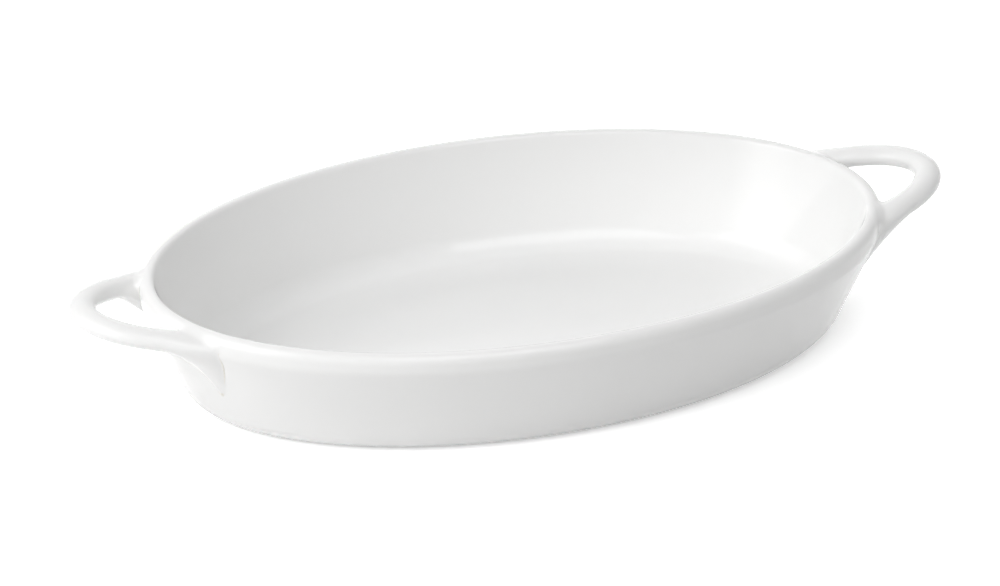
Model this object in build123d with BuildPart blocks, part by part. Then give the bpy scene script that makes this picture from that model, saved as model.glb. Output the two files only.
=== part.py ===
from build123d import *
import math
import os

os.makedirs("parts", exist_ok=True)

# Oval gratin dish in glazed porcelain with a loop handle at each end.
# Millimetres, +Z up, X along the dish, origin on the table under its middle.
# A section of the wall is drawn once and swept round the oval that runs
# along the middle of the lip, so every offset is the same all round.

# Plan of the dish, measured along the middle of the lip
lip_half_length = 149.7
lip_half_width = 97.6

# Wall, lip and foot of the fired clay, without the glaze
body_height = 48.0
lip_width = 4.8
lip_band_height = 7.0
lip_inner_round = 1.2
lip_outer_round = 3.2
lip_band_round = 8.0
wall_outer_draft = 23.5
wall_inner_draft = 19.5
floor_height = 4.8
floor_round = 12.5
foot_outer_round = 12.6
foot_face_width = 2.6
foot_grind = 0.3
foot_recess_depth = 1.6
foot_recess_round = 0.6
recess_corner_round = 1.2
recess_slope_run = 0.8
floor_join_run = 12.0
floor_join_lap = 5.0

# Glaze coats and the slip that joins the handles on
glaze_thickness = 0.3
glaze_foot_gap = 0.6
slip_thickness = 0.4

# Handles: the bar's middle runs round half an oval, set in from the lip at its roots
loop_inset = 5.2
loop_length = 40.8
loop_half_width = 29.4
bar_width = 10.2
bar_thickness = 7.3
bar_root_below_rim = 6.4
bar_tip_below_rim = 0.3
root_half_width = 12.0
root_angle = 60.0
root_run_in = 8.0
root_run_drop = 11.0
root_flare_power = 1.3
root_drop_power = 1.8

# How high the tail under a root ends, as a share of the dish's height
root_tail_share = 0.483

# Shape shares of the curved sections: a round, and the pointed tail under a root
round_share = 0.5523
tail_side_share = 0.32
tail_tip_share = 0.25
bar_angles = (0.0, 20.0, 40.0)
root_angle_shares = (0.0, 0.27, 0.54, 0.77, 1.0)

# Cutting blocks that only have to be larger than what they cut
cut_margin = 10.0

# Derived sizes
lip_half = lip_width / 2
lip_band_bottom = body_height - lip_band_height
outer_slope = math.tan(math.radians(wall_outer_draft))
inner_slope = math.tan(math.radians(wall_inner_draft))
foot_outer = lip_half - (lip_band_bottom + foot_grind) * outer_slope
foot_bend = foot_outer_round * math.tan(math.radians(90 - wall_outer_draft) / 2)
foot_inner = foot_outer - foot_bend - foot_face_width
floor_outer = -lip_half - (body_height - floor_height) * inner_slope
join_end = foot_inner - floor_join_run
plate_outline = join_end + floor_join_lap
root_reach = lip_half_length * math.sqrt(1 - (loop_half_width / lip_half_width) ** 2)
loop_centre = root_reach - loop_inset
bar_root_height = body_height - bar_root_below_rim
bar_tip_height = body_height - bar_tip_below_rim
root_drop = bar_root_height - body_height * root_tail_share
section_plane = Plane(origin=(lip_half_length, 0, 0), x_dir=(1, 0, 0), z_dir=(0, -1, 0))


# The oval along the middle of the lip, which every swept section follows
with BuildLine() as lip_oval:
    EllipticalCenterArc((0, 0), lip_half_length, lip_half_width, start_angle=0, arc_size=360)


def round_corner(sketch, corner, radius):
    # Rounds the corner of the sketch that lies nearest to this point
    fillet(sketch.vertices().sort_by_distance((corner[0], corner[1], 0))[0], radius)


# The fired clay in section: floor, wall, lip, foot ring and the recess under the floor
lip_inner = (-lip_half, body_height)
lip_outer = (lip_half, body_height)
band_edge = (lip_half, lip_band_bottom)
floor_edge = (floor_outer, floor_height)
foot_edge = (foot_outer, -foot_grind)
ring_edge = (foot_inner, -foot_grind)
recess_edge = (foot_inner - recess_slope_run, foot_recess_depth)
with BuildSketch() as clay_section:
    with BuildLine():
        Polyline(
            (join_end, floor_height),
            floor_edge,
            lip_inner,
            lip_outer,
            band_edge,
            foot_edge,
            ring_edge,
            recess_edge,
            (join_end, foot_recess_depth),
            close=True,
        )
    make_face()
    round_corner(clay_section, lip_inner, lip_inner_round)
    round_corner(clay_section, lip_outer, lip_outer_round)
    round_corner(clay_section, band_edge, lip_band_round)
    round_corner(clay_section, floor_edge, floor_round)
    round_corner(clay_section, foot_edge, foot_outer_round)
    round_corner(clay_section, ring_edge, foot_recess_round)
    round_corner(clay_section, recess_edge, recess_corner_round)

# The dish: the section swept round the oval, the foot ground flat, and the plate that closes the floor
with BuildPart() as dish_body:
    with BuildSketch(section_plane):
        add(clay_section.sketch)
    sweep(path=lip_oval.edge())
    split(bisect_by=Plane.XY, keep=Keep.TOP)
    with BuildSketch(Plane.XY.offset(foot_recess_depth)):
        Ellipse(lip_half_length, lip_half_width)
        offset(amount=plate_outline)
    extrude(amount=floor_height - foot_recess_depth)


# Lines that part the coats of glaze from one another, drawn inside the clay
crown = lip_half - lip_outer_round
wall_middle = ((floor_outer + foot_outer) / 2, (floor_height + foot_recess_depth) / 2)
lip_middle = (crown, lip_band_bottom)
ring_middle = foot_inner + foot_face_width / 2
above = body_height + cut_margin
outside = lip_half + cut_margin


def coat_section(*zone):
    # The coat of glaze in section, inside this zone
    with BuildSketch() as coat:
        add(clay_section.sketch)
        offset(amount=glaze_thickness)
        add(clay_section.sketch, mode=Mode.SUBTRACT)
        with BuildSketch(mode=Mode.INTERSECT):
            with BuildLine():
                Polyline(*zone, close=True)
            make_face()
    return coat.sketch


# Glaze inside the dish, from the crown of the lip down over the floor
with BuildPart() as inner_glaze:
    with BuildSketch(section_plane):
        add(coat_section((join_end, floor_height), wall_middle, lip_middle, (crown, above), (join_end, above)))
    sweep(path=lip_oval.edge())
    with BuildSketch(Plane.XY.offset(floor_height)):
        Ellipse(lip_half_length, lip_half_width)
        offset(amount=plate_outline)
    extrude(amount=glaze_thickness)

# Glaze in the recess under the floor, inside the bare foot ring
with BuildPart() as underside_glaze:
    with BuildSketch(section_plane):
        add(coat_section((join_end, glaze_foot_gap), (ring_middle, glaze_foot_gap), wall_middle, (join_end, wall_middle[1])))
    sweep(path=lip_oval.edge())
    with BuildSketch(Plane.XY.offset(foot_recess_depth - glaze_thickness)):
        Ellipse(lip_half_length, lip_half_width)
        offset(amount=plate_outline)
    extrude(amount=glaze_thickness)


def wall_core(growth):
    # The wall grown by a coat, with the inside of the dish filled: it trims the handles
    with BuildPart() as core:
        with BuildSketch(section_plane):
            add(clay_section.sketch)
            offset(amount=growth)
            with BuildLine():
                Polyline((join_end, 0), wall_middle, lip_middle, (crown, body_height), (join_end, body_height), close=True)
            make_face()
        sweep(path=lip_oval.edge())
    return core.part


def bar_section(side, angle, root_share, run, growth):
    # The bar in section, across its middle line at this angle round the loop
    turn = math.radians(angle)
    across = side * loop_half_width * math.cos(turn)
    along = loop_length * math.sin(turn)
    place_x = side * (loop_centre + loop_length * math.cos(turn) - run)
    place_y = loop_half_width * math.sin(turn)
    place_z = bar_root_height + (bar_tip_height - bar_root_height) * math.cos(turn)
    flare = root_share**root_flare_power
    fall = root_share**root_drop_power
    half = bar_width / 2 + (root_half_width - bar_width / 2) * flare + growth
    top = bar_thickness / 2 + growth
    drop = bar_thickness / 2 + (root_drop - bar_thickness / 2) * fall + growth
    if run:
        drop = drop + root_run_drop
    side_pull = round_share + (tail_side_share - round_share) * flare
    tip_pull = round_share + (tail_tip_share - round_share) * flare
    plane = Plane(origin=(place_x, place_y, place_z), x_dir=(across, along, 0), z_dir=(along, -across, 0))
    with BuildSketch(plane) as section:
        with BuildLine():
            Bezier((half, 0), (half, top * round_share), (half * round_share, top), (0, top))
            Bezier((0, top), (-half * round_share, top), (-half, top * round_share), (-half, 0))
            Bezier((-half, 0), (-half, -drop * side_pull), (-half * tip_pull, -drop), (0, -drop))
            Bezier((0, -drop), (half * tip_pull, -drop), (half, -drop * side_pull), (half, 0))
        make_face()
    return section.sketch


def loop_bar(side, growth):
    # The whole bar with its spread roots, still running on into the wall
    half_stations = [(0.0, 0.0, 0.0)]
    for angle in bar_angles[1:]:
        half_stations.append((angle, 0.0, 0.0))
    for share in root_angle_shares:
        half_stations.append((root_angle + (90 - root_angle) * share, share, 0.0))
    half_stations.append((90.0, 1.0, root_run_in))
    stations = [(-angle, share, step) for angle, share, step in reversed(half_stations[1:])] + half_stations
    with BuildPart() as bar:
        for angle, share, step in stations:
            add(bar_section(side, angle, share, step, growth))
        loft()
    return bar.part


# The two bars and the cores that trim them
left_bar = loop_bar(-1, 0.0)
right_bar = loop_bar(1, 0.0)
left_coated_bar = loop_bar(-1, glaze_thickness)
right_coated_bar = loop_bar(1, glaze_thickness)
clay_core = wall_core(0.0)
slip_core = wall_core(slip_thickness)
glaze_core = wall_core(glaze_thickness)

# Glaze outside, from the crown of the lip down to the bare foot, parted where a handle joins
with BuildPart() as outer_glaze:
    with BuildSketch(section_plane):
        add(
            coat_section(
                (crown, above),
                (outside, above),
                (outside, glaze_foot_gap),
                (ring_middle, glaze_foot_gap),
                wall_middle,
                lip_middle,
            )
        )
    sweep(path=lip_oval.edge())
    add(left_bar, mode=Mode.SUBTRACT)
    add(right_bar, mode=Mode.SUBTRACT)

# Handles, each one bar of clay with two spread roots
with BuildPart() as left_handle:
    add(left_bar)
    add(slip_core, mode=Mode.SUBTRACT)

with BuildPart() as right_handle:
    add(right_bar)
    add(slip_core, mode=Mode.SUBTRACT)

# Slip between each root and the wall
with BuildPart() as left_front_slip:
    add(left_bar)
    split(bisect_by=Plane.XZ, keep=Keep.TOP)
    add(slip_core, mode=Mode.INTERSECT)
    add(clay_core, mode=Mode.SUBTRACT)

with BuildPart() as left_back_slip:
    add(left_bar)
    split(bisect_by=Plane.XZ, keep=Keep.BOTTOM)
    add(slip_core, mode=Mode.INTERSECT)
    add(clay_core, mode=Mode.SUBTRACT)

with BuildPart() as right_front_slip:
    add(right_bar)
    split(bisect_by=Plane.XZ, keep=Keep.TOP)
    add(slip_core, mode=Mode.INTERSECT)
    add(clay_core, mode=Mode.SUBTRACT)

with BuildPart() as right_back_slip:
    add(right_bar)
    split(bisect_by=Plane.XZ, keep=Keep.BOTTOM)
    add(slip_core, mode=Mode.INTERSECT)
    add(clay_core, mode=Mode.SUBTRACT)

# Glaze on each handle, up to the coat on the wall
with BuildPart() as left_handle_glaze:
    add(left_coated_bar)
    add(left_bar, mode=Mode.SUBTRACT)
    add(glaze_core, mode=Mode.SUBTRACT)

with BuildPart() as right_handle_glaze:
    add(right_coated_bar)
    add(right_bar, mode=Mode.SUBTRACT)
    add(glaze_core, mode=Mode.SUBTRACT)


dish_body.part.label = "dish_body"
inner_glaze.part.label = "inner_glaze"
outer_glaze.part.label = "outer_glaze"
underside_glaze.part.label = "underside_glaze"
left_handle.part.label = "left_handle"
right_handle.part.label = "right_handle"
left_front_slip.part.label = "left_front_slip"
left_back_slip.part.label = "left_back_slip"
right_front_slip.part.label = "right_front_slip"
right_back_slip.part.label = "right_back_slip"
left_handle_glaze.part.label = "left_handle_glaze"
right_handle_glaze.part.label = "right_handle_glaze"

export_step(dish_body.part, "parts/dish_body.step")
export_step(inner_glaze.part, "parts/inner_glaze.step")
export_step(outer_glaze.part, "parts/outer_glaze.step")
export_step(underside_glaze.part, "parts/underside_glaze.step")
export_step(left_handle.part, "parts/left_handle.step")
export_step(right_handle.part, "parts/right_handle.step")
export_step(left_front_slip.part, "parts/left_front_slip.step")
export_step(left_back_slip.part, "parts/left_back_slip.step")
export_step(right_front_slip.part, "parts/right_front_slip.step")
export_step(right_back_slip.part, "parts/right_back_slip.step")
export_step(left_handle_glaze.part, "parts/left_handle_glaze.step")
export_step(right_handle_glaze.part, "parts/right_handle_glaze.step")
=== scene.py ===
"""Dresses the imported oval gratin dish: coats of glossy glaze, looped handles that melt into the wall, and a plain
studio."""

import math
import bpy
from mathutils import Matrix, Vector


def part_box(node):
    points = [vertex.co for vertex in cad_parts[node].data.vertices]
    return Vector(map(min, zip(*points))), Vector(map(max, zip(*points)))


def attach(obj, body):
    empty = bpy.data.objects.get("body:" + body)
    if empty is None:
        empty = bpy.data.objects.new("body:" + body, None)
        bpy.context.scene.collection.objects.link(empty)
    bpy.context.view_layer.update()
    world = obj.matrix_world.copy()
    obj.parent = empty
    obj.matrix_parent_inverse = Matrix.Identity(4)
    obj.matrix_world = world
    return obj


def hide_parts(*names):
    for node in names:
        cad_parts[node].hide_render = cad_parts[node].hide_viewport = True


bl_info = {
    "name": "Oval Gratin Dish",
    "version": (1, 0, 0),
    "blender": (4, 5, 0),
    "location": "View3D > Sidebar > Dish",
    "description": "Lays the glaze coats and the looped handles over the packed clay dish, and sets up the studio",
    "category": "Object",
}

import bpy
import numpy as np
from bpy.props import FloatProperty, FloatVectorProperty, PointerProperty
from bpy.types import Operator, Panel, PropertyGroup
from mathutils import Matrix

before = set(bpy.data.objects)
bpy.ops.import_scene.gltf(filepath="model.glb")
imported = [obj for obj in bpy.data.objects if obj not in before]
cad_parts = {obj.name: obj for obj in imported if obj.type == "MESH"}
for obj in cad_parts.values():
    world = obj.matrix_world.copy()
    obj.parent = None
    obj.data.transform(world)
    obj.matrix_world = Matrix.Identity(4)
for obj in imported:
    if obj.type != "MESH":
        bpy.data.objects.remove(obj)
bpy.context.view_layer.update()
coat_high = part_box("outer_glaze")[1]
clay_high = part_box("dish_body")[1]

MM = 0.001

# Points round the dish's oval and round a handle's bar
TURNS = 432
LINES = 112

# Rows of points along the sections of the three coats on the dish
INSIDE_ROWS = 71
OUTSIDE_ROWS = 81
UNDER_ROWS = 26

# Where the rings lie that lead from a coat's last row to the middle, as shares of the way
MIDDLE_SHARES = np.linspace(1, 0, 20)[1:-1]

# Pull of the cubic curve that comes closest to a quarter circle, and the pulls at a root's tail
ROUND = 0.5523
TAIL_SIDE_PULL = 0.32
TAIL_TIP_PULL = 0.25

# A root spreads between these degrees round the loop, by this power of the way
SPREAD_FROM = 60
SPREAD_TO = 90
SPREAD_POWER = 1.3

# Rings of a half bar: round its tip, along its root and inside the wall
TIP_RINGS = 34
ROOT_RINGS = 46
BURIED_RINGS = 14

# Rings of a handle's half up to its bend onto the wall, and of that bend
BODY_RINGS = 72
BEND_RINGS = 18

# One more ring this far along the bend keeps its shading off the sunk rim
NEAR_RIM = 0.994

# Share of the melt's reach that is left below a root, how soon it grows upward, and the pull of its bend
LEAST_MELT = 0.38
UPWARD_GAIN = 1.4
BEND_PULL = 0.62

# How deep a handle's hidden edge lies in the wall: at its rim, between, and at its inner end
RIM_DEPTH = 0.1 * MM
BETWEEN_DEPTH = 0.12 * MM
INNER_DEPTH = 0.35 * MM

# Step along the bar over which its direction at the wall is taken
SKIN_STEP = 0.8 * MM

# The camera as fitted to the photograph: degrees, then metres, then millimetres of lens and sensor
VIEW_AZIMUTH, VIEW_RISE, VIEW_ROLL = -22.75, 24.87, -0.4
VIEW_RIGHT, VIEW_UP, VIEW_AWAY = -5.86 * MM, 21.88 * MM, 2375.7 * MM
VIEW_LENS, VIEW_SENSOR = 216.0, 36.0

# Half the floor's side, and how bright the floor is of itself to the camera and in the gloss
FLOOR_HALF = 3
FLOOR_GLOW = 0.45

# Distance of the lamps from the point that they face, and its height above the table
LAMP_AWAY = 1.9
LAMP_AIM = 0.02

# Name, azimuth and rise in degrees, side in metres, watts, and what it lights
LAMPS = (
    ("wide_left_card", -100, 32, 2.4, 15.0, "gloss"),
    ("front_top_card", 0, 63, 1.3, 8.7, "gloss"),
    ("left_card", -85, 36, 1.0, 4.9, "gloss"),
    ("low_left_card", -75, 16, 0.9, 1.7, "gloss"),
    ("left_fill", -85, 40, 1.3, 17.4, "matte"),
    ("back_fill", 180, 25, 1.3, 15.7, "matte"),
    ("back_right_fill", 150, 25, 1.3, 5.5, "matte"),
    ("front_top_fill", 0, 60, 1.3, 13.0, "matte"),
    ("front_left_fill", -60, 25, 1.3, 10.0, "matte"),
    ("right_fill", 90, 12, 0.8, 5.4, "matte"),
    ("right_top_fill", 90, 60, 1.3, 3.6, "matte"),
)


class DishSizes(PropertyGroup):
    """Sizes of the clay and its coats, in metres."""

    lip_half: FloatProperty(
        name="Lip half width",
        description="Half the width of the lip in clay",
        default=2.4 * MM,
        unit="LENGTH",
    )
    coat: FloatProperty(
        name="Coat",
        description="Thickness of the glaze",
        default=coat_high[0] - clay_high[0],
        unit="LENGTH",
    )
    height: FloatProperty(
        name="Height",
        description="Height of the clay rim above the table",
        default=clay_high[2],
        unit="LENGTH",
    )
    band: FloatProperty(
        name="Band",
        description="Height of the upright band under the lip",
        default=7.0 * MM,
        unit="LENGTH",
    )
    inner_round: FloatProperty(
        name="Inner round",
        description="Round on the lip's inner edge",
        default=1.2 * MM,
        unit="LENGTH",
    )
    outer_round: FloatProperty(
        name="Outer round",
        description="Round on the lip's outer edge",
        default=3.2 * MM,
        unit="LENGTH",
    )
    band_round: FloatProperty(
        name="Band round",
        description="Round where the band turns into the wall",
        default=8.0 * MM,
        unit="LENGTH",
    )
    outer_draft: FloatProperty(
        name="Outer draft",
        description="Lean of the wall outside",
        default=math.radians(23.5),
        subtype="ANGLE",
    )
    inner_draft: FloatProperty(
        name="Inner draft",
        description="Lean of the wall inside",
        default=math.radians(19.5),
        subtype="ANGLE",
    )
    floor: FloatProperty(name="Floor", description="Height of the floor inside", default=4.8 * MM, unit="LENGTH")
    floor_round: FloatProperty(
        name="Floor round",
        description="Round between wall and floor",
        default=12.5 * MM,
        unit="LENGTH",
    )
    foot_round: FloatProperty(
        name="Foot round",
        description="Round between wall and foot",
        default=12.6 * MM,
        unit="LENGTH",
    )
    foot_face: FloatProperty(
        name="Foot face",
        description="Width of the foot before it is ground",
        default=2.6 * MM,
        unit="LENGTH",
    )
    grind: FloatProperty(name="Grind", description="Depth ground off the foot", default=0.3 * MM, unit="LENGTH")
    recess: FloatProperty(
        name="Recess",
        description="Depth of the recess under the floor",
        default=1.6 * MM,
        unit="LENGTH",
    )
    bare: FloatProperty(
        name="Bare foot",
        description="Height at which the glaze stops above the table",
        default=0.6 * MM,
        unit="LENGTH",
    )
    waver: FloatProperty(
        name="Waver",
        description="How far the hand-finished wall wavers from a true oval",
        default=0.12 * MM,
        unit="LENGTH",
    )


class HandleSizes(PropertyGroup):
    """Sizes of the looped handles, in metres."""

    inset: FloatProperty(
        name="Inset",
        description="How far inside the lip's middle line the loop's centre lies",
        default=5.2 * MM,
        unit="LENGTH",
    )
    length: FloatProperty(
        name="Loop length",
        description="Reach of the loop along the dish",
        default=40.8 * MM,
        unit="LENGTH",
    )
    half_width: FloatProperty(
        name="Loop half width",
        description="Half the width of the loop",
        default=29.4 * MM,
        unit="LENGTH",
    )
    bar_width: FloatProperty(name="Bar width", description="Width of the bar", default=10.2 * MM, unit="LENGTH")
    bar_thickness: FloatProperty(
        name="Bar thickness",
        description="Thickness of the bar",
        default=7.3 * MM,
        unit="LENGTH",
    )
    root_below: FloatProperty(
        name="Root below rim",
        description="Drop of the bar's middle at its roots",
        default=6.4 * MM,
        unit="LENGTH",
    )
    tip_below: FloatProperty(
        name="Tip below rim",
        description="Drop of the bar's middle at its tip",
        default=0.3 * MM,
        unit="LENGTH",
    )
    front_spread: FloatProperty(
        name="Front spread",
        description="Width of a front root from the bar's middle to the outside",
        default=11.2 * MM,
        unit="LENGTH",
    )
    back_spread: FloatProperty(
        name="Back spread",
        description="Width of a back root from the bar's middle to the outside",
        default=13.0 * MM,
        unit="LENGTH",
    )
    inner_spread: FloatProperty(
        name="Inner spread",
        description="Width of a root from the bar's middle to the finger hole",
        default=5.4 * MM,
        unit="LENGTH",
    )
    front_fall: FloatProperty(
        name="Front fall",
        description="How late a front root's tail falls, as a power of the way to the wall",
        default=2.0,
    )
    back_fall: FloatProperty(
        name="Back fall",
        description="How late a back root's tail falls, as a power of the way to the wall",
        default=1.4,
    )
    tail_share: FloatProperty(
        name="Tail share",
        description="Height of the tail's end as a share of the dish's height",
        default=0.483,
    )
    run_in: FloatProperty(
        name="Run in",
        description="How far the bar runs on inside the wall",
        default=8.0 * MM,
        unit="LENGTH",
    )
    run_drop: FloatProperty(
        name="Run drop",
        description="How far the tail falls over that run",
        default=11.0 * MM,
        unit="LENGTH",
    )
    melt: FloatProperty(
        name="Melt",
        description="Reach of the soft round where the handle meets the wall",
        default=3.4 * MM,
        unit="LENGTH",
    )


class Finish(PropertyGroup):
    """Colours of the fired dish and its studio."""

    glaze: FloatVectorProperty(
        name="Glaze",
        description="Colour of the glaze",
        default=(0.86, 0.86, 0.855),
        size=3,
        subtype="COLOR",
    )
    # Painted shade: a slightly deeper, cooler colour laid on the glaze low in the dish and near the foot
    pool: FloatVectorProperty(
        name="Painted shade",
        description="Painted shade low in the dish and near the foot",
        default=(0.835, 0.84, 0.84),
        size=3,
        subtype="COLOR",
    )
    biscuit: FloatVectorProperty(
        name="Biscuit",
        description="Colour of the bare clay",
        default=(0.80, 0.78, 0.73),
        size=3,
        subtype="COLOR",
    )
    floor: FloatVectorProperty(
        name="Floor",
        description="Colour of the studio floor",
        default=(0.9, 0.9, 0.9),
        size=3,
        subtype="COLOR",
    )


def rounded(corners, steps=10):
    """A line through corners (u, z, radius): each corner is replaced by the arc that touches both its sides. Gives
    the points and their outward normals."""
    points, normals = [], []
    for k in range(1, len(corners) - 1):
        before, here, after = (np.array(corners[j][:2]) for j in (k - 1, k, k + 1))
        radius = corners[k][2]
        into = (here - before) / np.linalg.norm(here - before)
        out = (after - here) / np.linalg.norm(after - here)
        turn = math.atan2(into[0] * out[1] - into[1] * out[0], float(into @ out))
        reach = radius * math.tan(abs(turn) / 2)
        start = here - into * reach
        side = math.copysign(1.0, turn)
        centre = start + side * radius * np.array((-into[1], into[0]))
        first = math.atan2(*(start - centre)[::-1])
        angles = first + turn * np.linspace(0, 1, steps)
        spoke = np.stack((np.cos(angles), np.sin(angles)), -1)
        points.append(centre + radius * spoke)
        normals.append(side * spoke)
    first_n = np.array(((corners[1][1] - corners[0][1]), -(corners[1][0] - corners[0][0])))
    last_n = np.array(((corners[-1][1] - corners[-2][1]), -(corners[-1][0] - corners[-2][0])))
    points = [np.array([corners[0][:2]])] + points + [np.array([corners[-1][:2]])]
    normals = [first_n[None] / np.linalg.norm(first_n)] + normals + [last_n[None] / np.linalg.norm(last_n)]
    return np.concatenate(points), np.concatenate(normals)


def even_points(points, normals, count):
    """The line again with count points at even steps along it."""
    run = np.concatenate(([0.0], np.cumsum(np.linalg.norm(np.diff(points, axis=0), axis=1))))
    at = np.linspace(0, run[-1], count)
    pick = [np.interp(at, run, column) for column in (*points.T, *normals.T)]
    normal = np.stack(pick[2:], -1)
    return np.stack(pick[:2], -1), normal / np.linalg.norm(normal, axis=1)[:, None]


def firm_ends(line):
    """The line with one more point close to each end, which keeps the shading of a coat's thin edge off its
    face."""
    near = 0.03
    first = line[:1] * (1 - near) + line[1:2] * near
    last = line[-1:] * (1 - near) + line[-2:-1] * near
    return np.concatenate((line[:1], first, line[1:-1], last, line[-1:]))


def dish_plan():
    """Half length and half width of the oval along the middle of the lip."""
    s = context_sizes()
    return coat_high[0] - s.lip_half - s.coat, coat_high[1] - s.lip_half - s.coat


def clay_corners():
    """Corners of the clay section as u (outward from the lip's middle) and z, each with its radius, from the
    floor's edge over the lip and down to the recess."""
    s = context_sizes()
    band_low = s.height - s.band
    foot_out = s.lip_half - (band_low + s.grind) * math.tan(s.outer_draft)
    foot_bend = s.foot_round * math.tan((math.pi / 2 - s.outer_draft) / 2)
    foot_in = foot_out - foot_bend - s.foot_face
    floor_out = -s.lip_half - (s.height - s.floor) * math.tan(s.inner_draft)
    return {
        "floor": (floor_out, s.floor, s.floor_round),
        "lip_in": (-s.lip_half, s.height, s.inner_round),
        "lip_out": (s.lip_half, s.height, s.outer_round),
        "band": (s.lip_half, band_low, s.band_round),
        "foot_out": (foot_out, -s.grind, s.foot_round),
        "foot_in": (foot_in, -s.grind, 0.6 * MM),
        "recess": (foot_in - 0.8 * MM, s.recess, 1.2 * MM),
    }


def oval_ring(angle, u):
    """Points at distance u outside the lip's oval, at these angles: the oval's point plus u times its normal."""
    long, wide = dish_plan()
    normal = np.stack((np.cos(angle) / long, np.sin(angle) / wide), -1)
    normal /= np.linalg.norm(normal, axis=-1, keepdims=True)
    return np.stack((long * np.cos(angle), wide * np.sin(angle)), -1) + np.asarray(u)[..., None] * normal


def waver(angle, height):
    """Small slow swells of a wall finished by hand, in metres: a few low waves round the oval that fade towards the
    foot."""
    s = context_sizes()
    lift = np.clip(height / s.height, 0, 1)
    waves = 0.5 * np.sin(2 * angle + 0.7) + 0.3 * np.sin(3 * angle + 2.1) + 0.2 * np.sin(5 * angle + 4.0)
    return -s.waver * (0.5 + 0.5 * waves) * lift


def swept(line):
    """The section line carried round the oval: every ring is the oval offset by the line's u, at the line's z."""
    angle = np.linspace(0, 2 * math.pi, TURNS, endpoint=False)[None, :]
    u, z = line[:, :1], line[:, 1:]
    flat = oval_ring(
        np.broadcast_to(angle, (len(line), TURNS)), np.broadcast_to(u, (len(line), TURNS)) + waver(angle, z)
    )
    return np.concatenate((flat, np.broadcast_to(z[..., None], flat.shape[:2] + (1,))), -1)


def to_middle(ring, share):
    """Rings between this one and the middle of the dish: the ring scaled by each share."""
    share = np.asarray(share)[:, None, None]
    return ring[None] * np.array((1, 1, 0)) * share + ring[None] * np.array((0, 0, 1))


def grid_mesh(name, rings, start_pole=None, end_pole=None, loop=False):
    """A mesh over a grid of rings. Rings close on themselves. A pole closes an end, and loop joins the last ring to
    the first."""
    count, turns = rings.shape[:2]
    points = rings.reshape(-1, 3)
    rows = np.arange(count if loop else count - 1)[:, None]
    cols = np.arange(turns)[None, :]
    nxt, row2 = (cols + 1) % turns, (rows + 1) % count
    quads = np.stack(
        np.broadcast_arrays(rows * turns + cols, rows * turns + nxt, row2 * turns + nxt, row2 * turns + cols), -1
    ).reshape(-1, 4)
    faces = [quads]
    caps = []
    for pole, row, flip in ((start_pole, 0, True), (end_pole, count - 1, False)):
        if pole is not None:
            hub = len(points) + 0 * cols
            points = np.concatenate((points, np.asarray(pole, float)[None]))
            ring = row * turns + cols
            ring2 = row * turns + nxt
            caps.append(np.stack((ring2, ring, hub) if flip else (ring, ring2, hub), -1).reshape(-1, 3))
    sizes = np.concatenate([np.full(len(quads), 4)] + [np.full(len(c), 3) for c in caps])
    corners = np.concatenate([quads.ravel()] + [c.ravel() for c in caps])
    mesh = bpy.data.meshes.new(name)
    mesh.vertices.add(len(points))
    mesh.vertices.foreach_set("co", points.astype(np.float32).ravel())
    mesh.loops.add(len(corners))
    mesh.loops.foreach_set("vertex_index", corners.astype(np.int32))
    mesh.polygons.add(len(sizes))
    mesh.polygons.foreach_set("loop_start", (np.cumsum(sizes) - sizes).astype(np.int32))
    mesh.polygons.foreach_set("use_smooth", np.ones(len(sizes), bool))
    mesh.update(calc_edges=True)
    mesh.validate()
    return mesh


def make_piece(name, mesh, material, slot, *nodes):
    """Links the mesh as a piece on the root body with its material, in place of the nodes that it stands for, which
    it hides. The slot is not used.
    """
    volume = signed_volume(mesh)
    if volume < 0:
        mesh.flip_normals()
    piece = bpy.data.objects.new(name, mesh)
    bpy.context.scene.collection.objects.link(piece)
    mesh.materials.append(material)
    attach(piece, "root")
    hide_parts(*nodes)


def signed_volume(mesh):
    """Sum over the triangles of a . (b x c) / 6, which is below zero where the faces point inwards."""
    mesh.calc_loop_triangles()
    points = np.empty(len(mesh.vertices) * 3, np.float32)
    mesh.vertices.foreach_get("co", points)
    index = np.empty(len(mesh.loop_triangles) * 3, np.int32)
    mesh.loop_triangles.foreach_get("vertices", index)
    a, b, c = (points.reshape(-1, 3)[index.reshape(-1, 3)[:, k]].astype(float) for k in range(3))
    return float(np.einsum("ij,ij->", a, np.cross(b, c)) / 6)


def shader(name):
    """An empty material with its Principled shader and output."""
    material = bpy.data.materials.new(name)
    material.use_nodes = True
    nodes = material.node_tree.nodes
    return material, nodes, material.node_tree.links, nodes["Principled BSDF"]


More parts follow.
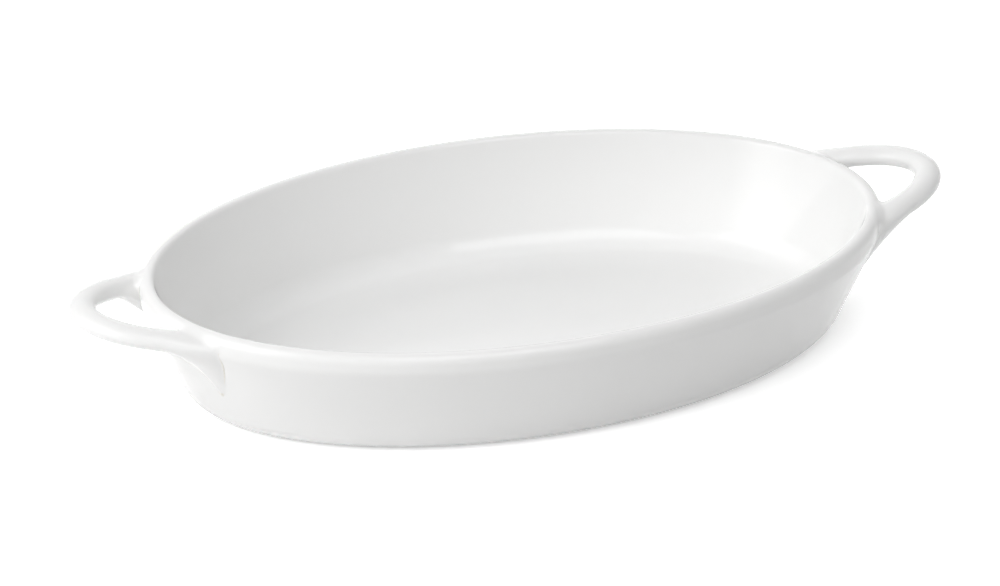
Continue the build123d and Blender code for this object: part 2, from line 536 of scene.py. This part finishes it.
def glaze_group():
    """Node group for fired glaze: slow waver in the coat, fine skin, and painted shade, a slightly deeper colour in
    slow patches towards the bottom of each coat.
    Puts out colour, roughness and height."""
    group = bpy.data.node_groups.new("fired_glaze", "ShaderNodeTree")
    face = group.interface
    for label, kind, value in (
        ("Colour", "NodeSocketColor", (0.86, 0.86, 0.855, 1)),
        ("Painted shade colour", "NodeSocketColor", (0.835, 0.84, 0.84, 1)),
        ("Painted shade height", "NodeSocketFloat", 0.012),
        ("Waver size", "NodeSocketFloat", 55.0),
        ("Roughness", "NodeSocketFloat", 0.09),
    ):
        face.new_socket(name=label, in_out="INPUT", socket_type=kind).default_value = value
    for label, kind in (
        ("Colour", "NodeSocketColor"), ("Roughness", "NodeSocketFloat"), ("Height", "NodeSocketFloat")
    ):
        face.new_socket(name=label, in_out="OUTPUT", socket_type=kind)
    nodes, links = group.nodes, group.links
    given, out = nodes.new("NodeGroupInput"), nodes.new("NodeGroupOutput")
    place = nodes.new("ShaderNodeTexCoord")
    slow = nodes.new("ShaderNodeTexNoise")
    slow.inputs["Detail"].default_value = 1.5
    links.new(place.outputs["Object"], slow.inputs["Vector"])
    links.new(given.outputs["Waver size"], slow.inputs["Scale"])
    fine = nodes.new("ShaderNodeTexNoise")
    fine.inputs["Scale"].default_value = 420.0
    fine.inputs["Detail"].default_value = 2.0
    links.new(place.outputs["Object"], fine.inputs["Vector"])
    both = nodes.new("ShaderNodeMath")
    both.operation = "MULTIPLY_ADD"
    both.inputs[1].default_value = 0.06
    links.new(fine.outputs["Fac"], both.inputs[0])
    links.new(slow.outputs["Fac"], both.inputs[2])
    links.new(both.outputs["Value"], out.inputs["Height"])
    split = nodes.new("ShaderNodeSeparateXYZ")
    links.new(place.outputs["Object"], split.inputs["Vector"])
    # Painted shade: the colour deepens from the given height down to the bottom of each coat, in the slow patches
    low = nodes.new("ShaderNodeMapRange")
    low.interpolation_type = "SMOOTHSTEP"
    low.inputs["From Min"].default_value = 0.0
    low.inputs["To Min"].default_value = 1.0
    low.inputs["To Max"].default_value = 0.0
    links.new(split.outputs["Z"], low.inputs["Value"])
    links.new(given.outputs["Painted shade height"], low.inputs["From Max"])
    shade_share = nodes.new("ShaderNodeMath")
    shade_share.operation = "MULTIPLY"
    links.new(low.outputs["Result"], shade_share.inputs[0])
    links.new(slow.outputs["Fac"], shade_share.inputs[1])
    mix = nodes.new("ShaderNodeMix")
    mix.data_type = "RGBA"
    links.new(shade_share.outputs["Value"], mix.inputs["Factor"])
    links.new(given.outputs["Colour"], mix.inputs["A"])
    links.new(given.outputs["Painted shade colour"], mix.inputs["B"])
    links.new(mix.outputs["Result"], out.inputs["Colour"])
    rough = nodes.new("ShaderNodeMath")
    rough.operation = "MULTIPLY_ADD"
    rough.inputs[1].default_value = 0.03
    links.new(fine.outputs["Fac"], rough.inputs[0])
    links.new(given.outputs["Roughness"], rough.inputs[2])
    links.new(rough.outputs["Value"], out.inputs["Roughness"])
    return group


def glaze_material(name, waver_size, shade_height, roughness, strength):
    """Opaque white glaze: the group's colour with its painted shade towards the bottom, roughness and height on a
    glossy shader.
    """
    finish = bpy.context.scene.dish_finish
    material, nodes, links, bsdf = shader(name)
    group = bpy.data.node_groups.get("fired_glaze") or glaze_group()
    coat = nodes.new("ShaderNodeGroup")
    coat.node_tree = group
    coat.inputs["Colour"].default_value = (*finish.glaze, 1)
    coat.inputs["Painted shade colour"].default_value = (*finish.pool, 1)
    coat.inputs["Painted shade height"].default_value = shade_height
    coat.inputs["Waver size"].default_value = waver_size
    coat.inputs["Roughness"].default_value = roughness
    links.new(coat.outputs["Colour"], bsdf.inputs["Base Color"])
    links.new(coat.outputs["Roughness"], bsdf.inputs["Roughness"])
    bump = nodes.new("ShaderNodeBump")
    bump.inputs["Strength"].default_value = strength
    bump.inputs["Distance"].default_value = 0.0002
    links.new(coat.outputs["Height"], bump.inputs["Height"])
    links.new(bump.outputs["Normal"], bsdf.inputs["Normal"])
    bsdf.inputs["IOR"].default_value = 1.5
    return material


def biscuit_material(name, grain_size, strength):
    """Fired bare clay: fine open grain with a few darker specks, dull."""
    finish = bpy.context.scene.dish_finish
    material, nodes, links, bsdf = shader(name)
    place = nodes.new("ShaderNodeTexCoord")
    grain = nodes.new("ShaderNodeTexNoise")
    grain.inputs["Scale"].default_value = grain_size
    grain.inputs["Detail"].default_value = 4.0
    links.new(place.outputs["Object"], grain.inputs["Vector"])
    speck = nodes.new("ShaderNodeTexVoronoi")
    speck.inputs["Scale"].default_value = grain_size * 0.4
    links.new(place.outputs["Object"], speck.inputs["Vector"])
    dot = nodes.new("ShaderNodeMapRange")
    dot.inputs["From Min"].default_value = 0.06
    dot.inputs["From Max"].default_value = 0.14
    links.new(speck.outputs["Distance"], dot.inputs["Value"])
    tone = nodes.new("ShaderNodeValToRGB")
    dark = [c * 0.86 for c in finish.biscuit]
    tone.color_ramp.elements[0].color = (*dark, 1)
    tone.color_ramp.elements[1].color = (*finish.biscuit, 1)
    tone.color_ramp.elements[0].position = 0.3
    tone.color_ramp.elements[1].position = 0.62
    links.new(grain.outputs["Fac"], tone.inputs["Fac"])
    mix = nodes.new("ShaderNodeMix")
    mix.data_type = "RGBA"
    mix.inputs["A"].default_value = (*[c * 0.62 for c in finish.biscuit], 1)
    links.new(dot.outputs["Result"], mix.inputs["Factor"])
    links.new(tone.outputs["Color"], mix.inputs["B"])
    links.new(mix.outputs["Result"], bsdf.inputs["Base Color"])
    bump = nodes.new("ShaderNodeBump")
    bump.inputs["Strength"].default_value = strength
    bump.inputs["Distance"].default_value = 0.0001
    links.new(grain.outputs["Fac"], bump.inputs["Height"])
    links.new(bump.outputs["Normal"], bsdf.inputs["Normal"])
    bsdf.inputs["Roughness"].default_value = 0.85
    return material


class DISH_OT_bare_clay(Operator):
    """Gives the packed clay and slip the dull finish of fired biscuit, which shows only on the ground foot"""

    bl_idname = "dish.bare_clay"
    bl_label = "Bare clay"

    def execute(self, context):
        clay = biscuit_material("biscuit_clay", 900.0, 0.5)
        slip = biscuit_material("fired_slip", 1400.0, 0.35)
        for name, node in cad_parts.items():
            if name == "dish_body" or name.endswith("slip"):
                node.data.materials.clear()
                node.data.materials.append(slip if name.endswith("slip") else clay)
        return {"FINISHED"}


def lip_split():
    """Where the inner coat meets the outer one on the lip: the middle of the flat crown."""
    s = context_sizes()
    return s.lip_half - s.outer_round


def context_sizes():
    """The dish's sizes in this scene."""
    return bpy.context.scene.dish_sizes


class DISH_OT_inner_coat(Operator):
    """Lays the glaze inside the dish, from the crown of the lip down the wall and over the floor"""

    bl_idname = "dish.inner_coat"
    bl_label = "Inner coat"

    def execute(self, context):
        s = context_sizes()
        c = clay_corners()
        start = (lip_split(), s.height)
        join = (c["floor"][0] - 12 * MM, s.floor)
        line, normal = rounded([join, c["floor"], c["lip_in"], start], 24)
        line, normal = even_points(line, -normal, INSIDE_ROWS)
        top = swept(firm_ends(line + s.coat * normal))
        under = swept(firm_ends(line[::5]))
        rings = np.concatenate(
            (to_middle(under[0], MIDDLE_SHARES)[::-1], under, top[::-1], to_middle(top[0], MIDDLE_SHARES))
        )
        mesh = grid_mesh("inner_coat", rings, (0, 0, s.floor), (0, 0, s.floor + s.coat))
        # Inside, the painted shade reaches 16 mm up, over the floor and its round
        make_piece(
            "inner_coat", mesh, glaze_material("glaze_inside", 48.0, 0.016, 0.07, 0.35), "glaze", "inner_glaze"
        )
        return {"FINISHED"}


class DISH_OT_outer_coat(Operator):
    """Lays the glaze outside, from the crown of the lip over the band and the wall down to the bare foot"""

    bl_idname = "dish.outer_coat"
    bl_label = "Outer coat"

    def execute(self, context):
        s = context_sizes()
        c = clay_corners()
        line, normal = rounded(
            [(lip_split(), s.height), c["lip_out"], c["band"], c["foot_out"], (c["foot_in"][0], -s.grind)], 40
        )
        keep = line[:, 1] > s.bare
        line, normal = even_points(line[keep], -normal[keep], OUTSIDE_ROWS)
        outside = firm_ends(line + s.coat * normal)
        edge = (line[-1:] + outside[-1:]) / 2 + np.array((-0.1 * MM, -0.12 * MM))
        rings = np.concatenate((swept(outside), swept(edge), swept(firm_ends(line[::-5]))))
        mesh = grid_mesh("outer_coat", rings, loop=True)
        # Outside, the painted shade reaches 6 mm up, just above the bare foot
        make_piece(
            "outer_coat", mesh, glaze_material("glaze_outside", 42.0, 0.006, 0.08, 0.4), "glaze", "outer_glaze"
        )
        return {"FINISHED"}


class DISH_OT_underside_coat(Operator):
    """Lays the glaze in the recess under the floor, inside the bare foot ring"""

    bl_idname = "dish.underside_coat"
    bl_label = "Underside coat"

    def execute(self, context):
        s = context_sizes()
        c = clay_corners()
        middle = (c["foot_in"][0] + 1.3 * MM, -s.grind)
        line, normal = rounded([middle, c["foot_in"], c["recess"], (c["recess"][0] - 10 * MM, s.recess)], 10)
        keep = line[:, 1] > s.bare
        line, normal = even_points(line[keep], -normal[keep], UNDER_ROWS)
        skin = line + s.coat * normal
        rings_out, rings_in = swept(skin), swept(line[::-1])
        rings = np.concatenate(
            (
                to_middle(rings_out[-1], MIDDLE_SHARES)[::-1],
                rings_out[::-1],
                rings_in[::-1],
                to_middle(rings_in[0], MIDDLE_SHARES),
            )
        )
        mesh = grid_mesh("underside_coat", rings, (0, 0, s.recess - s.coat), (0, 0, s.recess))
        # Under the floor the painted shade reaches 3 mm up, over the recess
        make_piece(
            "underside_coat",
            mesh,
            glaze_material("glaze_under", 60.0, 0.003, 0.14, 0.5),
            "glaze",
            "underside_glaze",
        )
        return {"FINISHED"}


def wall_gap(points, growth):
    """How far points lie outside the dish's outer skin, and the skin's outward direction there.
    The nearest point of the lip's oval gives u and z, and the distance to the section line of lip, band, wall and
    foot in that plane is the gap."""
    s = context_sizes()
    long, wide = dish_plan()
    flat = points[..., :2]
    angle = np.arctan2(flat[..., 1] / wide, flat[..., 0] / long)
    for _ in range(12):
        ring = np.stack((long * np.cos(angle), wide * np.sin(angle)), -1)
        along = np.stack((-long * np.sin(angle), wide * np.cos(angle)), -1)
        bend = -ring
        off = ring - flat
        slope = (off * along).sum(-1)
        rate = (along * along).sum(-1) + (off * bend).sum(-1)
        angle = angle - slope / np.where(np.abs(rate) < 1e-9, 1e-9, rate)
    ring = np.stack((long * np.cos(angle), wide * np.sin(angle)), -1)
    normal = np.stack((np.cos(angle) / long, np.sin(angle) / wide), -1)
    normal /= np.linalg.norm(normal, axis=-1, keepdims=True)
    u = ((flat - ring) * normal).sum(-1)
    here = np.stack((u, points[..., 2]), -1)
    c = clay_corners()
    line, line_n = rounded(
        [(lip_split() - 3 * MM, s.height), c["lip_out"], c["band"], c["foot_out"], (c["foot_in"][0], -s.grind)], 24
    )
    line = line - growth * line_n
    a, b = line[:-1], line[1:]
    span = b - a
    rel = here[..., None, :] - a
    share = np.clip((rel * span).sum(-1) / np.maximum((span * span).sum(-1), 1e-18), 0, 1)
    foot = a + share[..., None] * span
    gap = np.linalg.norm(here[..., None, :] - foot, axis=-1)
    best = gap.argmin(-1)
    pick = np.take_along_axis
    near = pick(foot, best[..., None, None], -2)[..., 0, :]
    n1, n2 = -line_n[:-1][best], -line_n[1:][best]
    w = pick(share, best[..., None], -1)
    n = n1 * (1 - w) + n2 * w
    n /= np.linalg.norm(n, axis=-1, keepdims=True)
    signed = ((here - near) * n).sum(-1)
    direction = np.concatenate((normal * n[..., :1], n[..., 1:]), -1)
    return signed, direction


def half_bar(side, growth, spread, fall_power):
    """Half of a bar's skin as rings of LINES points, from the loop's tip to its back root. The middle line is a
    quarter oval, and each ring is two rounds above and a tail below, all cubic curves, grown by a coat. From
    SPREAD_FROM degrees on the ring spreads to the outside and its tail falls, by powers of the share of the way to
    the root."""
    s, h = context_sizes(), bpy.context.scene.handle_sizes
    long, wide = dish_plan()
    root_z, tip_z = s.height - h.root_below, s.height - h.tip_below
    centre = long * math.sqrt(1 - (h.half_width / wide) ** 2) - h.inset
    drop_full = root_z - s.height * h.tail_share
    round_tip = np.linspace(0, SPREAD_FROM, TIP_RINGS)[:-1]
    along_root = np.linspace(SPREAD_FROM, SPREAD_TO, ROOT_RINGS)
    angle = np.radians(np.concatenate((round_tip, along_root)))
    run = np.concatenate((np.zeros(len(angle)), np.linspace(0, 1, BURIED_RINGS + 1)[1:]))
    angle = np.concatenate((angle, np.full(BURIED_RINGS, math.pi / 2)))
    share = np.clip((np.degrees(angle) - SPREAD_FROM) / (SPREAD_TO - SPREAD_FROM), 0, 1)
    flare, fall = share**SPREAD_POWER, share**fall_power
    outer = h.bar_width / 2 + (spread - h.bar_width / 2) * flare + growth
    inner = h.bar_width / 2 + (h.inner_spread - h.bar_width / 2) * flare + growth
    top = h.bar_thickness / 2 + growth + 0 * flare
    drop = h.bar_thickness / 2 + (drop_full - h.bar_thickness / 2) * fall + growth + h.run_drop * run
    side_pull = ROUND + (TAIL_SIDE_PULL - ROUND) * flare
    tip_pull = ROUND + (TAIL_TIP_PULL - ROUND) * flare
    t = np.linspace(0, 1, LINES // 4, endpoint=False)
    b0, b1, b2, b3 = (1 - t) ** 3, 3 * t * (1 - t) ** 2, 3 * t * t * (1 - t), t**3

    def curve(p0, p1, p2, p3):
        return sum(np.asarray(p)[:, None] * b[None] for p, b in zip((p0, p1, p2, p3), (b0, b1, b2, b3)))

    zero = 0 * outer
    across = np.concatenate(
        (
            curve(outer, outer, outer * ROUND, zero),
            curve(zero, -inner * ROUND, -inner, -inner),
            curve(-inner, -inner, -inner * tip_pull, zero),
            curve(zero, outer * tip_pull, outer, outer),
        ),
        1,
    )
    rise = np.concatenate(
        (
            curve(zero, top * ROUND, top, top),
            curve(top, top, top * ROUND, zero),
            curve(zero, -drop * side_pull, -drop, -drop),
            curve(-drop, -drop, -drop * side_pull, zero),
        ),
        1,
    )
    out = np.stack((h.half_width * np.cos(angle), h.length * np.sin(angle)), -1)
    out /= np.linalg.norm(out, axis=1)[:, None]
    x = centre + h.length * np.cos(angle)[:, None] - h.run_in * run[:, None] + across * out[:, :1]
    y = h.half_width * np.sin(angle)[:, None] + across * out[:, 1:]
    z = root_z + (tip_z - root_z) * np.cos(angle)[:, None] + rise
    return np.stack((x * side, y, z), -1)


def bar_lines(side, growth):
    """The bar's skin from its front root round the loop's tip to its back root. The front half is made as a back
    half is and turned over across the dish's length."""
    h = bpy.context.scene.handle_sizes
    back = half_bar(side, growth, h.back_spread, h.back_fall)
    front = half_bar(side, growth, h.front_spread, h.front_fall) * np.array((1, -1, 1))
    return np.concatenate((front[:0:-1], back))


class DISH_OT_handles(Operator):
    """Builds both looped handles: a bar of clay with two spread roots, and the coat of glaze that melts it into the
    wall"""

    bl_idname = "dish.handles"
    bl_label = "Handles"

    def execute(self, context):
        s, h = context_sizes(), context.scene.handle_sizes
        clay = biscuit_material("handle_clay", 1000.0, 0.4)
        coat = glaze_material("glaze_handles", 70.0, 0.004, 0.07, 0.3)
        for side, word in ((-1, "left"), (1, "right")):
            core, core_start, core_end = handle_rings(side, 0.0, h.melt * 0.5, 0.0)
            mesh = grid_mesh(f"{word}_bar", core, core_start, core_end)
            make_piece(f"{word}_bar", mesh, clay, "biscuit", f"{word}_handle")
            skin, _, _ = handle_rings(side, s.coat, h.melt, 0.06 * MM)
            mesh = grid_mesh(f"{word}_bar_coat", np.concatenate((skin, core[::-1])), loop=True)
            make_piece(f"{word}_bar_coat", mesh, coat, "glaze", f"{word}_handle_glaze")
        return {"FINISHED"}


def handle_rings(side, growth, melt, sink):
    """Rings of one handle from root to root, and the two poles that would close it inside the wall.
    Along each line of the bar the crossing with the wall is found, and the last stretch before it is bent by a
    cubic curve into the wall's own plane, away from the bar. The bend is widest on top. Its end is sunk a little so
    that no edge shows."""
    bar = bar_lines(side, growth)
    half = len(bar) // 2
    halves, poles = [], []
    for part in (bar[half:], bar[: half + 1][::-1]):
        gap, _ = wall_gap(part, growth)
        cols = np.arange(part.shape[1])
        first = np.maximum((gap < 0).argmax(0), 1)
        g0, g1 = gap[first - 1, cols], gap[first, cols]
        w = g0 / (g0 - g1)
        step = np.linalg.norm(np.diff(part, axis=0), axis=-1)
        run = np.concatenate((np.zeros((1, part.shape[1])), np.cumsum(step, 0)))
        end = run[first - 1, cols] + w * step[first - 1, cols]
        skin_n = ring_normals(part, run, end)
        upward = np.clip(skin_n[:, 2] * UPWARD_GAIN, 0, 1)
        reach = melt * (LEAST_MELT + (1 - LEAST_MELT) * upward * upward * (3 - 2 * upward))
        begin = end - reach
        body = along_lines(part, run, np.linspace(0, 1, BODY_RINGS)[:, None] * begin[None])
        cross = along_lines(part, run, end[None])[0]
        into = cross - body[-1]
        into /= np.linalg.norm(into, axis=-1, keepdims=True)
        _, wall_n = wall_gap(cross, growth)
        away = skin_n - (skin_n * wall_n).sum(-1, keepdims=True) * wall_n
        away /= np.linalg.norm(away, axis=-1, keepdims=True)
        land = cross + away * reach[:, None]
        gap, land_n = wall_gap(land, growth)
        land = land - land_n * (gap + sink)[:, None]
        away = away - (away * land_n).sum(-1, keepdims=True) * land_n
        away /= np.linalg.norm(away, axis=-1, keepdims=True)
        t = np.append(np.linspace(0, 1, BEND_RINGS)[1:-1], (NEAR_RIM, 1.0))[:, None, None]
        pull = BEND_PULL * reach[:, None]
        bend = (1 - t) ** 3 * body[-1] + 3 * t * (1 - t) ** 2 * (body[-1] + into * pull)
        bend = bend + 3 * t * t * (1 - t) * (land - away * pull) + t**3 * land
        inner = cross - wall_n * INNER_DEPTH
        rim = land - land_n * RIM_DEPTH
        between = (land + inner) / 2 - land_n * BETWEEN_DEPTH
        halves.append(np.concatenate((body, bend, rim[None], between[None], inner[None])))
        poles.append(inner.mean(0))
    rings = np.concatenate((halves[1][:0:-1], halves[0]))
    return rings, poles[1], poles[0]


def along_lines(part, run, where):
    """Points at these distances along each line of the bar, by straight steps between its rings."""
    index = np.clip((run[None, :, :] <= where[:, None, :]).sum(1) - 1, 0, len(part) - 2)
    cols = np.broadcast_to(np.arange(part.shape[1]), index.shape)
    low, high = run[index, cols], run[index + 1, cols]
    w = ((where - low) / np.maximum(high - low, 1e-12))[..., None]
    return part[index, cols] * (1 - w) + part[index + 1, cols] * w


def ring_normals(part, run, at):
    """Outward normal of the bar's skin at the crossing: the cross product of its two directions on the grid."""
    here = along_lines(part, run, at[None])[0]
    back = along_lines(part, run, at[None] - SKIN_STEP)[0]
    forward = here - back
    round_about = np.roll(here, -1, 0) - np.roll(here, 1, 0)
    normal = np.cross(forward, round_about)
    normal /= np.linalg.norm(normal, axis=-1, keepdims=True)
    centre = here.mean(0)
    facing = np.sign(((here - centre) * normal).sum())
    return normal * facing


class DISH_OT_studio(Operator):
    """Sets the pale floor, the soft lamps and the camera at the photograph's viewing angle"""

    bl_idname = "dish.studio"
    bl_label = "Studio"

    def execute(self, context):
        finish = context.scene.dish_finish
        scene = context.scene
        scene.view_settings.view_transform = "Standard"
        mesh = bpy.data.meshes.new("studio_floor")
        far = FLOOR_HALF
        mesh.from_pydata([(-far, -far, 0), (far, -far, 0), (far, far, 0), (-far, far, 0)], [], [(0, 1, 2, 3)])
        floor = bpy.data.objects.new("studio_floor", mesh)
        scene.collection.objects.link(floor)
        material, nodes, links, bsdf = shader("studio_floor")
        nodes.remove(bsdf)
        out = next(n for n in nodes if n.type == "OUTPUT_MATERIAL")
        matte = nodes.new("ShaderNodeBsdfDiffuse")
        matte.inputs["Color"].default_value = (*finish.floor, 1)
        glow = nodes.new("ShaderNodeEmission")
        seen = nodes.new("ShaderNodeLightPath")
        either = nodes.new("ShaderNodeMath")
        either.operation = "MAXIMUM"
        links.new(seen.outputs["Is Camera Ray"], either.inputs[0])
        links.new(seen.outputs["Is Glossy Ray"], either.inputs[1])
        share = nodes.new("ShaderNodeMath")
        share.operation = "MULTIPLY"
        share.inputs[1].default_value = FLOOR_GLOW
        links.new(either.outputs["Value"], share.inputs[0])
        links.new(share.outputs["Value"], glow.inputs["Strength"])
        both = nodes.new("ShaderNodeAddShader")
        links.new(matte.outputs["BSDF"], both.inputs[0])
        links.new(glow.outputs["Emission"], both.inputs[1])
        links.new(both.outputs["Shader"], out.inputs["Surface"])
        mesh.materials.append(material)

        world = bpy.data.worlds.new("studio_air")
        scene.world = world
        world.use_nodes = True
        air, joins = world.node_tree.nodes, world.node_tree.links
        path = air.new("ShaderNodeLightPath")
        pick = air.new("ShaderNodeMath")
        pick.operation = "MAXIMUM"
        joins.new(path.outputs["Is Camera Ray"], pick.inputs[0])
        joins.new(path.outputs["Is Glossy Ray"], pick.inputs[1])
        air["Background"].inputs["Color"].default_value = (1, 1, 1, 1)
        joins.new(pick.outputs["Value"], air["Background"].inputs["Strength"])

        for row in LAMPS:
            lamp(*row)

        data = bpy.data.cameras.new("viewer")
        data.lens, data.sensor_width = VIEW_LENS, VIEW_SENSOR
        data.clip_end = 100.0
        camera = bpy.data.objects.new("viewer", data)
        scene.collection.objects.link(camera)
        right, up, back = facing(VIEW_AZIMUTH, VIEW_RISE)
        roll = math.radians(VIEW_ROLL)
        place = VIEW_RIGHT * right + VIEW_UP * up + VIEW_AWAY * back
        tilted_right = right * math.cos(roll) + up * math.sin(roll)
        tilted_up = up * math.cos(roll) - right * math.sin(roll)
        camera.matrix_world = pose(tilted_right, tilted_up, back, place)
        scene.camera = camera
        return {"FINISHED"}


def facing(azimuth, rise):
    """Directions right, up and back of something that faces the dish's middle, at these degrees round from the
    front to the right and up from the table."""
    azimuth, rise = math.radians(azimuth), math.radians(rise)
    back = np.array((math.sin(azimuth) * math.cos(rise), -math.cos(azimuth) * math.cos(rise), math.sin(rise)))
    right = np.cross((0, 0, 1.0), back)
    right /= np.linalg.norm(right)
    return right, np.cross(back, right), back


def pose(right, up, back, place):
    """The matrix of something that stands at this place with these directions."""
    matrix = np.eye(4)
    matrix[:3, 0], matrix[:3, 1], matrix[:3, 2], matrix[:3, 3] = right, up, back, place
    return Matrix(matrix.tolist())


def lamp(name, azimuth, rise, size, watts, lights):
    """A soft square lamp on the sphere round the dish, facing its middle. Azimuth is counted from the front, to the
    right. A card shows in the gloss alone and a fill in the matte light alone, so that each can be set by
    itself."""
    data = bpy.data.lights.new(name, "AREA")
    data.shape = "SQUARE"
    data.size, data.energy = size, watts
    light = bpy.data.objects.new(name, data)
    light.visible_glossy, light.visible_diffuse = lights == "gloss", lights == "matte"
    bpy.context.scene.collection.objects.link(light)
    right, up, back = facing(azimuth, rise)
    light.matrix_world = pose(right, up, back, back * LAMP_AWAY + np.array((0, 0, LAMP_AIM)))


class DISH_PT_panel(Panel):
    """Lists the dish's sizes, its finish and the steps that build it"""

    bl_idname = "DISH_PT_panel"
    bl_label = "Gratin dish"
    bl_space_type = "VIEW_3D"
    bl_region_type = "UI"
    bl_category = "Dish"

    def draw(self, context):
        for group in (context.scene.dish_sizes, context.scene.handle_sizes, context.scene.dish_finish):
            box = self.layout.box()
            for name in group.__annotations__:
                box.prop(group, name)
        for step in STEPS:
            self.layout.operator(step.bl_idname)


GROUPS = (("dish_sizes", DishSizes), ("handle_sizes", HandleSizes), ("dish_finish", Finish))
STEPS = (
    DISH_OT_bare_clay,
    DISH_OT_inner_coat,
    DISH_OT_outer_coat,
    DISH_OT_underside_coat,
    DISH_OT_handles,
    DISH_OT_studio,
)


def register():
    for name, group in GROUPS:
        bpy.utils.register_class(group)
        setattr(bpy.types.Scene, name, PointerProperty(type=group))
    for step in (*STEPS, DISH_PT_panel):
        bpy.utils.register_class(step)


def unregister():
    for step in (DISH_PT_panel, *reversed(STEPS)):
        bpy.utils.unregister_class(step)
    for name, group in reversed(GROUPS):
        delattr(bpy.types.Scene, name)
        bpy.utils.unregister_class(group)


def main():
    register()
    for step in STEPS:
        group, name = step.bl_idname.split(".")
        getattr(getattr(bpy.ops, group), name)()


if __name__ == "__main__":
    main()
